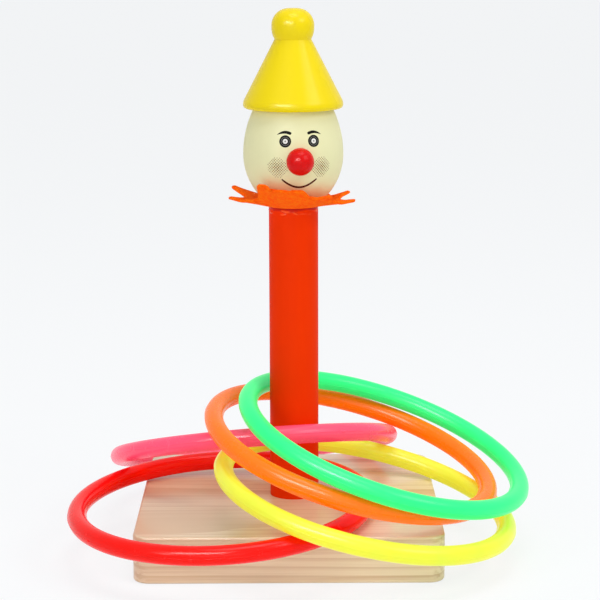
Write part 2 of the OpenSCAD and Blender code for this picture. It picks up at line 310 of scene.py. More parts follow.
# %% Turned paint group
GRAIN_UP, LATHE_ROUND = (420, 420, 26), (5, 5, 850)

paint_tree, taken, given = new_group(
    "Turned paint", "ShaderNodeTree",
    [("Paint", "Color", (0.8, 0.8, 0.8, 1)), ("Shade", "Color", (0.6, 0.6, 0.6, 1)),
     ("Tone", "Float", 0.3), ("Turning", "Float", 0.2), ("Gloss", "Float", 0.25)],
    SKIN,
)
where = object_place(paint_tree)
grain = clouds(paint_tree, stretched(paint_tree, where, GRAIN_UP), 1.0, 4.0)
lathe = clouds(paint_tree, stretched(paint_tree, where, LATHE_ROUND), 1.0, 1.0)
peel = clouds(paint_tree, where, 520.0, 1.0)
pools = clouds(paint_tree, where, 38.0, 3.0)
uneven = calc(
    paint_tree, "MULTIPLY", taken["Tone"], weigh(paint_tree, (grain, 0.55), (pools, 0.45))
)
give(
    paint_tree, given, Colour=tinted(paint_tree, uneven, taken["Paint"], taken["Shade"]),
    Roughness=weigh(paint_tree, (taken["Gloss"], 1.0), (pools, 0.08)),
    Height=weigh(paint_tree, (grain, 0.5), (peel, 0.35), (lathe, taken["Turning"])),
)
print("group:", paint_tree.name)

# %% [markdown]
# ## Moulded plastic
# Each ring is moulded from one round bar of plastic. Plastic that flowed in a mould shows soft clouds
# of colour, and rings that are thrown pick up short scuffs, which only change how sharply they shine.
# Two noises at different scales give both without a picture, so nothing repeats round the ring.

# %% Moulded plastic group
plastic_tree, taken, given = new_group(
    "Moulded plastic", "ShaderNodeTree",
    [("Plastic", "Color", (0.8, 0.1, 0.1, 1)), ("Deep", "Color", (0.6, 0.05, 0.05, 1)),
     ("Gloss", "Float", 0.22)],
    SKIN,
)
where = object_place(plastic_tree)
flow = clouds(plastic_tree, where, 34.0, 3.0, Distortion=0.6)
scuff = clouds(plastic_tree, where, 210.0, 5.0, Roughness=0.75)
worn = ramp(plastic_tree, scuff, 0.56, 0.74, top=0.18)
thick = calc(plastic_tree, "MULTIPLY", flow, 0.55)
give(
    plastic_tree, given, Colour=tinted(plastic_tree, thick, taken["Plastic"], taken["Deep"]),
    Roughness=calc(plastic_tree, "ADD", taken["Gloss"], worn),
    Height=weigh(plastic_tree, (flow, 0.8), (worn, 1.0)),
)
print("group:", plastic_tree.name)

# %% [markdown]
# ## Finishes
# Each finish is one Principled shader fed by one of the groups. The group gives colour, roughness
# and height, and what is the same all over, such as the coat, is set on the shader itself, because
# an export keeps a plain number and may lose a wired one.
# A finish with a painted glow takes the colour of that glow from the same group.

# %% Finish builder
BUMP_STRENGTH = 0.5


def finish(name, group, settings, bump_mm, **constants):
    material = bpy.data.materials.new(name)
    material.use_nodes = True
    tree = material.node_tree
    shader = tree.nodes["Principled BSDF"]
    skin = add(tree, "ShaderNodeGroup", settings, node_tree=group).outputs
    bump = add(
        tree, "ShaderNodeBump",
        {"Height": skin["Height"], "Strength": BUMP_STRENGTH, "Distance": bump_mm * MM},
    )
    tree.links.new(skin["Colour"], shader.inputs["Base Color"])
    tree.links.new(skin["Roughness"], shader.inputs["Roughness"])
    tree.links.new(bump.outputs["Normal"], shader.inputs["Normal"])
    # An emission here is painted glow, not a lamp.
    if "Emission_Strength" in constants:
        tree.links.new(skin["Colour"], shader.inputs["Emission Color"])
    for key, value in constants.items():
        shader.inputs[key.replace("_", " ")].default_value = value
    return material


def group_of(material):
    return next(node for node in material.node_tree.nodes if node.type == "GROUP")


def wood(name, pith_mm, turn, settings, bump_mm, **constants):
    material = finish(name, wood_tree, settings, bump_mm, **constants)
    tree = material.node_tree
    pith = {"Vector": object_place(tree), "Location": [v * MM for v in pith_mm], "Rotation": turn}
    place = add(tree, "ShaderNodeMapping", pith)
    tree.links.new(place.outputs["Vector"], group_of(material).inputs["Vector"])
    return material


print("finish builder ready")

# %% [markdown]
# ### The wooden pieces
# The board is lacquered pine. Its pith lies far below it, as in a plank sawn from the side of a log,
# so the edges show long level lines and the top only a few wide ones.
# The dowels are birch, stood on end, so their vector is turned to bring the grain upright.

# %% Wood finishes
# The pine's end shade is painted shade: the board darkens towards its left end.
pine = wood(
    "pine", (0, 25, 400), (0, 0, 0),
    {"Early": (0.90, 0.765, 0.56, 1), "Late": (0.66, 0.475, 0.29, 1), "Ring width": 0.0044,
     "Wander": 0.004, "Gloss": 0.3, "Heartwood": 0.45},
    0.04, Coat_Weight=0.4, Coat_Roughness=0.16,
)
birch = wood(
    "birch", (0, 9, 14), (0, math.radians(90), 0),
    {"Early": (0.82, 0.68, 0.49, 1), "Late": (0.70, 0.54, 0.35, 1), "Ring width": 0.0015,
     "Wander": 0.001, "Gloss": 0.5},
    0.03,
)
print("wood:", pine.name, birch.name)

# %% [markdown]
# ### The painted pieces
# The same group dresses four pieces. A low roughness lets the hat and nose shine like enamel, and the
# head stays dull, because a printer's ink wants a matt ground.
# The steel of the screw uses it too: a turned surface is much the same under paint and under zinc.

# %% Paint finishes
hat_paint = finish(
    "hat_paint", paint_tree,
    {"Paint": (0.88, 0.69, 0.0, 1), "Shade": (0.82, 0.62, 0.0, 1), "Tone": 0.5, "Turning": 0.15,
     "Gloss": 0.23},
    0.04, Specular_IOR_Level=0.2,
)
head_paint = finish(
    "head_paint", paint_tree,
    {"Paint": (0.82, 0.80, 0.47, 1), "Shade": (0.75, 0.73, 0.41, 1), "Tone": 0.5, "Turning": 0.2,
     "Gloss": 0.5},
    0.05, Specular_IOR_Level=0.3,
)
nose_paint = finish(
    "nose_paint", paint_tree,
    {"Paint": (0.74, 0.003, 0.003, 1), "Shade": (0.58, 0.002, 0.002, 1), "Tone": 0.5,
     "Turning": 0.9, "Gloss": 0.18},
    0.1, Specular_IOR_Level=0.14,
)
post_colours = {
    "Paint": (0.92, 0.042, 0.0, 1), "Shade": (0.84, 0.029, 0.0, 1), "Tone": 0.6, "Turning": 0.1,
}
post_paint = finish(
    "post_paint", paint_tree, {**post_colours, "Gloss": 0.4}, 0.06, Specular_IOR_Level=0.03
)
steel = finish(
    "screw_steel", paint_tree,
    {"Paint": (0.68, 0.68, 0.65, 1), "Shade": (0.5, 0.5, 0.48, 1), "Tone": 0.5, "Turning": 0.6,
     "Gloss": 0.3},
    0.03, Metallic=1.0,
)
print("paints and metal:", [m.name for m in (hat_paint, head_paint, nose_paint, post_paint, steel)])

# %% [markdown]
# ### The rings
# Five colours, one group. The deep colour is what shows where the plastic is thick.
# Such bright plastics hold a fluorescent dye. A faint emission of the same colour is painted glow:
# it lifts the shaded side of each ring, so that side never turns dull.

# %% Ring finishes
# Each colour: the plastic, its deep tone, how strongly it mirrors, how rough it is, its painted glow.
PLASTIC_COLOURS = {
    "red": ((0.92, 0.004, 0.0, 1), (0.84, 0.002, 0.0, 1), 0.2, 0.2, 0.12),
    "yellow": ((0.56, 0.71, 0.05, 1), (0.92, 0.68, 0.0, 1), 0.35, 0.29, 0.4),
    "pink": ((1.0, 0.09, 0.19, 1), (0.96, 0.06, 0.14, 1), 0.35, 0.25, 0.18),
    "orange": ((1.0, 0.185, 0.0, 1), (1.0, 0.135, 0.0, 1), 0.3, 0.26, 0.25),
    "green": ((0.02, 0.92, 0.23, 1), (0.005, 0.86, 0.17, 1), 0.4, 0.29, 0.35),
}
plastics = {
    name: finish(
        name + "_plastic", plastic_tree, {"Plastic": light, "Deep": deep, "Gloss": rough}, 0.04,
        Specular_IOR_Level=mirror, Emission_Strength=painted_glow,
    )
    for name, (light, deep, mirror, rough, painted_glow) in PLASTIC_COLOURS.items()
}
print("ring finishes:", sorted(plastics))

# %% [markdown]
# ### Hand the finishes out
# A finish goes in the material slot of the node. A dressed copy would look the same, but this way
# the solid's shape stays untouched.

# %% Assign
finishes = {
    "base_board": pine, "post": post_paint, "head": head_paint, "nose": nose_paint, "hat": hat_paint,
    "neck_dowel": birch, "hat_dowel": birch,
    **{"ring_" + name: material for name, material in plastics.items()},
}
for name, material in finishes.items():
    nodes[name].material_slots[0].material = material
print("dressed:", len(finishes), "nodes")

# %% [markdown]
# ## Printing on the head
# The face is printed on the cream paint with a soft pad. It could be a picture on a UV map, but ink
# in its own mesh stays crisp at any distance, so it is drawn flat, as a printer would: x is the
# distance round the head and z the height.
# A small tree then throws each point at the head along a level ray and sets it down where it hits,
# so the drawing follows the egg shape whatever its curve.

# %% Head point group
START_OUT = 0.1
HEAD_INPUTS = [("Head", "Object", None), ("Facing", "Float", 0.0), ("Wrap radius", "Float", 0.0244)]


def surface(tree, solid):
    values = {"Object": solid}
    return add(tree, "GeometryNodeObjectInfo", values, transform_space="RELATIVE").outputs["Geometry"]


point_tree, taken, given = new_group(
    "Head point", "GeometryNodeTree",
    [("Across", "Float", 0.0), ("Height", "Float", 0.0), *HEAD_INPUTS], [("Position", "Vector")],
)
round_head = calc(point_tree, "DIVIDE", taken["Across"], taken["Wrap radius"])
angle = calc(point_tree, "ADD", taken["Facing"], round_head)
outward = add(
    point_tree, "ShaderNodeCombineXYZ",
    {0: calc(point_tree, "COSINE", angle), 1: calc(point_tree, "SINE", angle)},
).outputs[0]
level = add(point_tree, "ShaderNodeCombineXYZ", {2: taken["Height"]}).outputs[0]
start = add(
    point_tree, "ShaderNodeVectorMath",
    {0: stretched(point_tree, outward, (START_OUT,) * 3), 1: level}, operation="ADD",
)
ray = add(
    point_tree, "GeometryNodeRaycast",
    {"Target Geometry": surface(point_tree, taken["Head"]), "Source Position": start.outputs[0],
     "Ray Direction": stretched(point_tree, outward, (-1, -1, -1)), "Ray Length": 2 * START_OUT},
)
give(point_tree, given, Position=ray.outputs["Hit Position"])

nose_points = [v.co for v in nodes["nose"].data.vertices]
tip = sum(nose_points, Vector()) / len(nose_points)
FACING = math.atan2(tip.y, tip.x)
print("the face looks along", round(math.degrees(FACING), 1), "degrees")

# %% [markdown]
# The wrapping tree moves a flat drawing on to the head and gives it its ink. A thin solidify closes
# it into a film, and as half of that film is sunk in the paint, only a trace stands out.

# %% Print tree
SHAPE = [("Geometry", "Geometry")]


def dressed(tree, geometry, material):
    real = add(tree, "GeometryNodeRealizeInstances", {"Geometry": geometry}).outputs["Geometry"]
    return add(
        tree, "GeometryNodeSetMaterial", {"Geometry": real, "Material": material}
    ).outputs["Geometry"]


def laid_on_head(tree, taken, geometry, across, height):
    values = {title: taken[title] for title, form, value in HEAD_INPUTS}
    values.update({"Across": across, "Height": height})
    spot = add(tree, "GeometryNodeGroup", values, node_tree=point_tree).outputs["Position"]
    moved = add(tree, "GeometryNodeSetPosition", {"Geometry": geometry, "Position": spot})
    return moved.outputs["Geometry"]


print_tree, taken, given = new_group(
    "Print on head", "GeometryNodeTree",
    [("Geometry", "Geometry", None), *HEAD_INPUTS, ("Ink", "Material", None)], SHAPE,
)
drawn = add(print_tree, "GeometryNodeInputPosition").outputs[0]
flat = add(print_tree, "ShaderNodeSeparateXYZ", {0: drawn}).outputs
laid = laid_on_head(print_tree, taken, taken["Geometry"], flat["X"], flat["Z"])
give(print_tree, given, Geometry=dressed(print_tree, laid, taken["Ink"]))
print("tree:", print_tree.name)

# %% [markdown]
# A tree runs on an object as a modifier, and its inputs are set by the identifiers of its sockets.
# A live modifier could still change the piece later, so `bake` turns what the tree made into a
# plain mesh.

# %% Mesh helpers
def new_object(name, vertices, faces, body):
    mesh = bpy.data.meshes.new(name)
    mesh.from_pydata(vertices, [], faces)
    mesh.shade_smooth()
    obj = bpy.data.objects.new(name, mesh)
    scene.collection.objects.link(obj)
    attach(obj, body)
    return obj


def run_tree(obj, tree, **inputs):
    modifier = obj.modifiers.new(tree.name, "NODES")
    modifier.node_group = tree
    for item in tree.interface.items_tree:
        title = item.name.replace(" ", "_")
        if item.in_out == "INPUT" and title in inputs:
            modifier[item.identifier] = inputs[title]


def bake(obj):
    graph = bpy.context.evaluated_depsgraph_get()
    mesh = bpy.data.meshes.new_from_object(obj.evaluated_get(graph))
    obj.modifiers.clear()
    obj.data = mesh


print("helpers: new_object, run_tree, bake")

# %% Printing
FILM_MM = 0.09


def ink(name, colour, shade):
    settings = {"Paint": colour, "Shade": shade, "Tone": 0.6, "Turning": 0.0, "Gloss": 0.45}
    return finish(name, paint_tree, settings, 0.02, Specular_IOR_Level=0.05)


def print_on_head(name, shapes, material):
    vertices, faces = [], []
    for points, loops in shapes:
        faces += [[i + len(vertices) for i in loop] for loop in loops]
        vertices += [(x * MM, 0, z * MM) for x, z in points]
    film = new_object(name, vertices, faces, "stand")
    run_tree(film, print_tree, Head=nodes["head"], Facing=FACING, Ink=material)
    skin = film.modifiers.new("film", "SOLIDIFY")
    skin.thickness = FILM_MM * MM
    skin.offset = 0.0
    bake(film)
    print(name + ":", len(film.data.polygons), "faces")


print("a print is", FILM_MM, "mm thick")

# %% [markdown]
# ### Eyes, brows and smile
# An eye is a stack of rings: black, a fine grey line, black again, white and a grey dot.
# A stroke is a line whose width is given at each point, so a brow can end in a point. A curve with a
# bevel would do that too, but it is round, and a print is flat.

# %% Ring shape
RING_STEP = 0.6


def ring_shape(x, z, inner, outer, around=48):
    steps = max(2, math.ceil((outer - inner) / RING_STEP) + 1)
    radii = [inner + (outer - inner) * i / (steps - 1) for i in range(steps)]
    angles = [2 * math.pi * k / around for k in range(around)]
    points = [(x + r * math.cos(a), z + r * math.sin(a)) for r in radii for a in angles]
    loops = [
        (i * around + k, i * around + (k + 1) % around,
         (i + 1) * around + (k + 1) % around, (i + 1) * around + k)
        for i in range(steps - 1) for k in range(around)
    ]
    return points, loops


print("a ring of 1 mm has", len(ring_shape(0, 0, 1, 2)[1]), "faces")

# %% Stroke shape
def stroke(line, width, steps=40):
    def at(t):
        a, b, c = (Vector(p) for p in line)
        return a * (1 - t) ** 2 + b * 2 * t * (1 - t) + c * t ** 2

    points, loops = [], []
    for i in range(steps + 1):
        t = i / steps
        middle = at(t)
        way = (at(min(t + 0.01, 1)) - at(max(t - 0.01, 0))).normalized()
        side = Vector((-way.y, way.x)) * width(t) / 2
        points += [tuple(middle - side), tuple(middle), tuple(middle + side)]
    for i in range(steps):
        for k in (3 * i, 3 * i + 1):
            loops.append((k, k + 1, k + 4, k + 3))
    return points, loops


BROW_MM, POINT_MM, SMILE_MM = 1.3, 0.12, 1.0


def brow_width(t):
    return BROW_MM * (1 - t ** 3) * min(1, 0.55 + 6 * t) + POINT_MM


def smile_width(t):
    return SMILE_MM * (1 - 0.3 * abs(2 * t - 1) ** 8)


print("a brow is", round(max(brow_width(i / 20) for i in range(21)), 2), "mm wide")

# %% Face print
EYE_X, EYE_Z = 7.15, 209.5
MIDDLE, DOT, WHITE, LINE_IN, LINE_OUT, RIM = 0.02, 0.42, 1.25, 1.95, 2.1, 2.95
BROW = [(4.2, 213.1), (7.7, 214.9), (11.5, 212.6)]
SMILE = [(-9.2, 190.6), (0, 182.4), (9.2, 190.6)]

black = ink("ink_black", (0.006, 0.006, 0.005, 1), (0.016, 0.015, 0.013, 1))
white = ink("ink_white", (0.86, 0.86, 0.82, 1), (0.78, 0.78, 0.74, 1))
grey = ink("ink_grey", (0.30, 0.30, 0.29, 1), (0.22, 0.22, 0.21, 1))
brown = ink("ink_brown", (0.10, 0.018, 0.006, 1), (0.06, 0.010, 0.004, 1))


def eye_rings(*bounds):
    return [ring_shape(side * EYE_X, EYE_Z, a, b) for side in (-1, 1) for a, b in bounds]


brows = [stroke([(side * x, z) for x, z in BROW], brow_width) for side in (-1, 1)]
print_on_head("face_black", eye_rings((WHITE, LINE_IN), (LINE_OUT, RIM)) + brows, black)
print_on_head("face_white", eye_rings((DOT, WHITE)), white)
print_on_head("face_grey", eye_rings((MIDDLE, DOT), (LINE_IN, LINE_OUT)), grey)
print_on_head("face_smile", [stroke(SMILE, smile_width)], brown)

# %% [markdown]
# ### Halftone cheeks
# A printer makes a soft blush with dots of one ink. The dots sit on a grid turned by 45 degrees,
# and they shrink towards the rim. A dotted texture would blur, so each dot is a small disc.
# Geometry Nodes makes the grid, drops the dots outside the circle, lays the rest on the head with the
# same ray, and sets one disc on each.

# %% Cheek grid
GRID_TURN = math.radians(45)
GRID_WIDE = 2.9

cheek_tree, taken, given = new_group(
    "Halftone cheek", "GeometryNodeTree",
    [("Geometry", "Geometry", None), *HEAD_INPUTS, ("Across", "Float", 0.011),
     ("Height", "Float", 0.1965), ("Spot radius", "Float", 0.005), ("Dots across", "Int", 16),
     ("Dot size", "Float", 0.00038), ("Rim size", "Float", 0.0002), ("Film", "Float", 0.00005),
     ("Ink", "Material", None)],
    SHAPE,
)
wide = calc(cheek_tree, "MULTIPLY", taken["Spot radius"], GRID_WIDE)
grid = add(
    cheek_tree, "GeometryNodeMeshGrid",
    {"Size X": wide, "Size Y": wide, "Vertices X": taken["Dots across"],
     "Vertices Y": taken["Dots across"]},
)
turned = add(
    cheek_tree, "ShaderNodeVectorRotate",
    {"Vector": add(cheek_tree, "GeometryNodeInputPosition").outputs[0], "Angle": GRID_TURN},
    rotation_type="Z_AXIS",
).outputs[0]
off = add(cheek_tree, "ShaderNodeVectorMath", {0: turned}, operation="LENGTH").outputs["Value"]
outside = calc(cheek_tree, "GREATER_THAN", off, taken["Spot radius"])
kept = add(
    cheek_tree, "GeometryNodeDeleteGeometry",
    {"Geometry": grid.outputs["Mesh"], "Selection": outside},
)
size = ramp(cheek_tree, off, 0.0, taken["Spot radius"], taken["Dot size"], taken["Rim size"])
sized = add(
    cheek_tree, "GeometryNodeStoreNamedAttribute",
    {"Geometry": kept.outputs["Geometry"], "Name": "dot_size", "Value": size}, data_type="FLOAT",
)
print("tree:", cheek_tree.name)

# %% Cheek dots
parts = add(cheek_tree, "ShaderNodeSeparateXYZ", {0: turned}).outputs
laid = laid_on_head(
    cheek_tree, taken, sized.outputs["Geometry"],
    calc(cheek_tree, "ADD", taken["Across"], parts["X"]),
    calc(cheek_tree, "ADD", taken["Height"], parts["Y"]),
)
lean = add(
    cheek_tree, "GeometryNodeSampleNearestSurface",
    {"Mesh": surface(cheek_tree, taken["Head"]),
     "Value": add(cheek_tree, "GeometryNodeInputNormal").outputs[0]},
    data_type="FLOAT_VECTOR",
)
stand_up = add(
    cheek_tree, "FunctionNodeAlignRotationToVector", {"Vector": lean.outputs[0]}, axis="Z"
)
dot = add(cheek_tree, "GeometryNodeMeshCylinder", {"Vertices": 10, "Radius": 1.0, "Depth": 2.0})
read = add(
    cheek_tree, "GeometryNodeInputNamedAttribute", {"Name": "dot_size"}, data_type="FLOAT"
).outputs[0]
dot_scale = add(cheek_tree, "ShaderNodeCombineXYZ", {0: read, 1: read, 2: taken["Film"]})
dots = add(
    cheek_tree, "GeometryNodeInstanceOnPoints",
    {"Points": laid, "Instance": dot.outputs["Mesh"],
     "Rotation": stand_up.outputs["Rotation"], "Scale": dot_scale.outputs[0]},
)
give(cheek_tree, given, Geometry=dressed(cheek_tree, dots.outputs["Instances"], taken["Ink"]))
print("nodes in the tree:", len(cheek_tree.nodes))

# %% Cheeks
CHEEK_X = 11.07
blush = ink("ink_blush", (0.22, 0.045, 0.02, 1), (0.15, 0.03, 0.012, 1))
for side, name in ((-1, "cheek_left"), (1, "cheek_right")):
    cheek = new_object(name, [], [], "stand")
    run_tree(
        cheek, cheek_tree, Head=nodes["head"], Facing=FACING, Across=side * CHEEK_X * MM, Ink=blush
    )
    bake(cheek)
    print(name + ":", len(cheek.data.polygons), "faces")

# %% [markdown]
# ## The felt collar
# The collar is one star cut from felt and pinched between post and head. Cut by hand, no two of its
# petals are alike, and the stiff felt keeps the bend it was given: those under the chin stand up
# against the head, and those at the sides reach out.
# A cloth simulation would let stiff felt droop, so the collar is built from the flat cut. Each point
# knows how far along the felt it lies from the centre, so bending it keeps its length.

# %% Felt finish
felt_tree, taken, given = new_group(
    "Felt", "ShaderNodeTree",
    [("Wool", "Color", (0.95, 0.19, 0.02, 1)), ("Shadow", "Color", (0.7, 0.1, 0.01, 1)),
     ("Gloss", "Float", 0.85)],
    SKIN,
)
where = object_place(felt_tree)
matted = clouds(felt_tree, where, 420.0, 7.0, Roughness=0.75)
hairs = clouds(felt_tree, where, 2600.0, 2.0, Distortion=3.0)
nap = ramp(felt_tree, weigh(felt_tree, (matted, 0.6), (hairs, 0.4)), 0.38, 0.62)
give(
    felt_tree, given, Colour=tinted(felt_tree, nap, taken["Shadow"], taken["Wool"]),
    Roughness=weigh(felt_tree, (taken["Gloss"], 1.0), (hairs, 0.1)), Height=nap,
)
# The emission of the felt is painted glow: it lifts the shaded side of the collar.
felt = finish(
    "felt", felt_tree, {"Wool": (1.0, 0.19, 0.004, 1), "Shadow": (0.95, 0.06, 0.0, 1)}, 0.4,
    Specular_IOR_Level=0.03, Sheen_Weight=0.08, Sheen_Roughness=0.5, Sheen_Tint=(1.0, 0.5, 0.2, 1),
    Emission_Strength=0.18,
)
print("felt:", felt.name)

# %% Petals
Petal = namedtuple("Petal", "way reach tip lift curl twist cut")
# Each petal: direction in degrees, reach and tip width in mm, lift, curl, twist, and the radius at
# which the cut towards the next petal ends.
PETALS = [Petal(*row) for row in (
    (-16, 32.4, 2.2, 6, 4, 0.0, 23.0), (12, 30.0, 4.2, 14, 12, -0.20, 23.5),
    (50, 28.5, 3.0, 4, 2, 0.10, 24.0), (73, 32.0, 3.0, 13, 6, -0.1, 23.5),
    (96, 33.0, 3.0, 9, 8, 0.15, 24.0), (124, 33.5, 3.0, 11, 8, 0.1, 24.0),
    (154, 36.0, 2.2, 12, 10, 0.0, 24.5), (183, 33.0, 2.2, 7, 5, 0.0, 24.5),
    (209, 27.5, 4.0, 13, 6, 0.1, 25.0), (237, 34.3, 6.0, 31, 18, 0.12, 31.5),
    (254, 32.2, 6.5, 29, 14, 0.1, 31.0), (274, 31.6, 7.2, 28, 18, -0.05, 27.0),
    (304, 29.9, 9.0, 21, 8, 0.1, 24.5),
)]
POST_TOP, HEAD_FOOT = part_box("post")[1].z / MM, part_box("head")[0].z / MM
MID_Z = (POST_TOP + HEAD_FOOT) / 2
HOLE, PINCH, BEND, CURL_OVER = 4.3, 13.4, 3.0, 18.0
FIRST_CUT = min(petal.cut for petal in PETALS)
print("petals:", len(PETALS), "reaching", max(petal.reach for petal in PETALS), "mm at most")

# %% [markdown]
# The felt lies flat as far as it is pinched, then turns up round a small bend and curls on from there.
# `bent` follows it: given the way along the felt, it tells the radius, the height and the slope.

# %% Bend of the felt
CURL_STEP = 0.5


def bent(s, lift, curl):
    a = math.radians(lift)
    free = s - PINCH - BEND * a
    if s <= PINCH:
        return s, 0.0, 0.0
    if free <= 0:
        t = (s - PINCH) / BEND
        return PINCH + BEND * math.sin(t), BEND * (1 - math.cos(t)), t
    r, z, t = PINCH + BEND * math.sin(a), BEND * (1 - math.cos(a)), a
    steps = max(1, int(free / CURL_STEP))
    ds = free / steps
    for i in range(steps):
        t = a + math.radians(curl) * (i + 0.5) * ds / CURL_OVER
        r, z = r + math.cos(t) * ds, z + math.sin(t) * ds
    return r, z, t


print("a petal of 30 mm ends", round(bent(30, lift=20, curl=10)[1], 1), "mm up")

# %% [markdown]
# A petal narrows from its cuts to a blunt tip. Near the cuts it shares the bend of its neighbours, and
# further out it has its own, with a slight twist, a wave and a hollow along its middle.
# The edge of cut felt is soft, so the thickness fades towards it. A bevel would pinch at the cuts.

# %% Petal shape
TAPER, BLUNT, BROAD_TIP, BROAD_LOSS, NARROW_LEFT = 1.15, 1.6, 5, 0.75, 0.06
CALM_OVER, WAVE, HOLLOW = 0.4, 0.5, 0.35
ROUNDING, THIN_EDGE = 0.65, 0.12


def petal_half(petal, s, t, cut, half):
    fade = (1 - t) ** TAPER
    width = fade * cut * math.sin(half) + (1 - fade) * petal.tip / 2
    blunt = max(0.0, (s - (petal.reach - BLUNT)) / BLUNT)
    if petal.tip > BROAD_TIP:
        width *= 1 - BROAD_LOSS * blunt ** 3
    else:
        width *= math.sqrt(max(NARROW_LEFT, 1 - blunt ** 2))
    return math.asin(min(1.0, width / s))


def petal_rise(petal, beside, s, u, t, half):
    calm = max(0.0, 1 - t / CALM_OVER) ** 2
    pull = abs(u) ** 1.5 * calm / 2
    lift = petal.lift + (beside.lift - petal.lift) * pull
    curl = petal.curl + (beside.curl - petal.curl) * pull
    r, z, slope = bent(s, lift, curl)
    wave = noise.noise(Vector((s * 0.12, petal.way * 0.7, u * 0.6))) * WAVE * t
    twist = petal.twist * u * (1 - calm) * s * half * 0.5
    offset = twist + wave - HOLLOW * u * u * t * (1 - t)
    return r - math.sin(slope) * offset, z + math.cos(slope) * offset


def felt_fullness(petal, s, u, t, cut, half):
    from_edge = ROUNDING
    if t > 0:
        from_edge = (1 - abs(u)) * half * s + max(0.0, ROUNDING - (s - cut))
    inset = min(1.0, from_edge / ROUNDING, (petal.reach - s) / ROUNDING)
    return max(THIN_EDGE, math.sqrt(1 - (1 - inset) ** 2))


print("edge thickness:", THIN_EDGE, "of the felt's")

# %% Petal rows and columns
ROWS_HELD, ROWS_OUT, ROWS_TIP, ROW_STEP, TIP_CROWDING = 4, 12, 15, 0.5, 1.7
EDGE_IN = [0.25, 0.5, 0.74, 0.88, 0.96, 1.0]
columns = [-u for u in reversed(EDGE_IN)] + [0.0] + EDGE_IN
rows_in = [HOLE + (PINCH - HOLE) * i / ROWS_HELD for i in range(ROWS_HELD)]
rows_in += [PINCH + (FIRST_CUT - PINCH) * i / ROWS_OUT for i in range(ROWS_OUT)]


def petal_rows(petal, last_cut):
    between = round((last_cut - FIRST_CUT) / ROW_STEP)
    shares = [1 - (1 - i / (ROWS_TIP - 1)) ** TIP_CROWDING for i in range(ROWS_TIP)]
    rows = rows_in + [FIRST_CUT + ROW_STEP * i for i in range(between)]
    return rows + [last_cut + (petal.reach - last_cut) * share for share in shares]


print("a petal has", len(columns), "columns and", len(petal_rows(PETALS[0], FIRST_CUT)), "rows")

# %% Collar points
flat_points, points, loops, fullness = [], [], [], []
for k, petal in enumerate(PETALS):
    beside = (PETALS[k - 1], PETALS[(k + 1) % len(PETALS)])
    gaps = ((petal.way - beside[0].way) % 360 / 2, (beside[1].way - petal.way) % 360 / 2)
    cuts = (beside[0].cut, petal.cut)
    rows = petal_rows(petal, max(cuts))
    first = len(points)
    for s in rows:
        for u in columns:
            side = 0 if u < 0 else 1
            half = math.radians(gaps[side])
            t = max(0.0, (s - cuts[side]) / (petal.reach - cuts[side]))
            if t > 0:
                half = petal_half(petal, s, t, cuts[side], half)
            fullness.append(felt_fullness(petal, s, u, t, cuts[side], half))
            r, z = petal_rise(petal, beside[side], s, u, t, half)
            turn = math.radians(petal.way) + u * half
            flat_points.append(Vector((s * math.cos(turn) * MM, s * math.sin(turn) * MM)))
            points.append((r * math.cos(turn) * MM, r * math.sin(turn) * MM, (MID_Z + z) * MM))
    wide = len(columns)
    for i in range(len(rows) - 1):
        for j in range(wide - 1):
            a = first + i * wide + j
            loops.append((a, a + wide, a + wide + 1, a + 1))

# %% Felt collar
MERGE, SQUEEZE = 0.02, 0.04


def close_up(work, mesh, reach):
    bmesh.ops.remove_doubles(work, verts=work.verts, dist=reach)
    bmesh.ops.recalc_face_normals(work, faces=work.faces)
    work.to_mesh(mesh)
    work.free()


collar = new_object("felt_collar_soft", points, loops, "stand")
full = collar.vertex_groups.new(name="fullness")
for i, share in enumerate(fullness):
    full.add([i], share, "REPLACE")
work = bmesh.new()
work.from_mesh(collar.data)
close_up(work, collar.data, MERGE * MM)
collar.data.materials.append(felt)
felting = collar.modifiers.new("felt thickness", "SOLIDIFY")
felting.thickness = (HEAD_FOOT - POST_TOP - SQUEEZE) * MM
felting.offset = 0.0
felting.vertex_group = full.name
bake(collar)
collar.data.shade_smooth()
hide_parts("felt_collar")
print("collar:", len(collar.data.polygons), "faces")

# %% [markdown]
# ## Puckers in the paint
# Just under the collar the paint of the post has puckered, as a thick film does where something is
# pressed on it too soon. The folds lie round the post and catch the light, which a bump is too flat
# to do, so they are a band of mesh just under the surface, of which only the ridges come out, and a
# trace of the crease right below the felt. Their tones are painted: painted shade darkens the crease
# under the felt where the collar casts its shadow, and painted highlight pales the ridge of each fold.
# Two attributes of the mesh carry both tones to the shader.

# %% Folds
POST_R = (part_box("post")[1].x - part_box("post")[0].x) / 2 / MM
# Each fold: direction in degrees, depth below the top, half length and half width, height and slant.
FOLDS = [
    (207, 2.9, 3.4, 0.50, 0.36, 0.00), (246, 3.2, 2.8, 0.50, 0.40, -0.05),
    (251, 1.6, 3.6, 0.60, 0.60, 0.16), (274, 2.6, 2.0, 0.50, 0.45, 0.35),
    (292, 2.8, 3.6, 0.45, 0.26, 0.04), (312, 3.2, 2.4, 0.45, 0.24, -0.10),
    (335, 2.0, 3.0, 0.50, 0.40, 0.10), (15, 2.6, 2.6, 0.50, 0.42, -0.10),
    (55, 1.6, 3.0, 0.55, 0.50, 0.10), (92, 2.7, 2.4, 0.50, 0.38, 0.00),
    (130, 1.9, 3.0, 0.55, 0.44, -0.12), (170, 2.4, 2.7, 0.50, 0.40, 0.08),
]
CREASE, SLOW_WAVE, QUICK_WAVE = 2.0, 0.5, 0.3


def crease_foot(angle):
    a = math.radians(angle)
    return CREASE + SLOW_WAVE * math.sin(3 * a + 1) + QUICK_WAVE * math.sin(7 * a)


def fold_height(angle, depth):
    total = 0.0
    for way, below, half_length, half_width, height, slant in FOLDS:
        run = math.radians((angle - way + 180) % 360 - 180) * POST_R
        if abs(run) < half_length:
            across = (depth - below - slant * run) / half_width
            total += height * (1 - (run / half_length) ** 2) ** 2 * math.exp(-across ** 2)
    return total


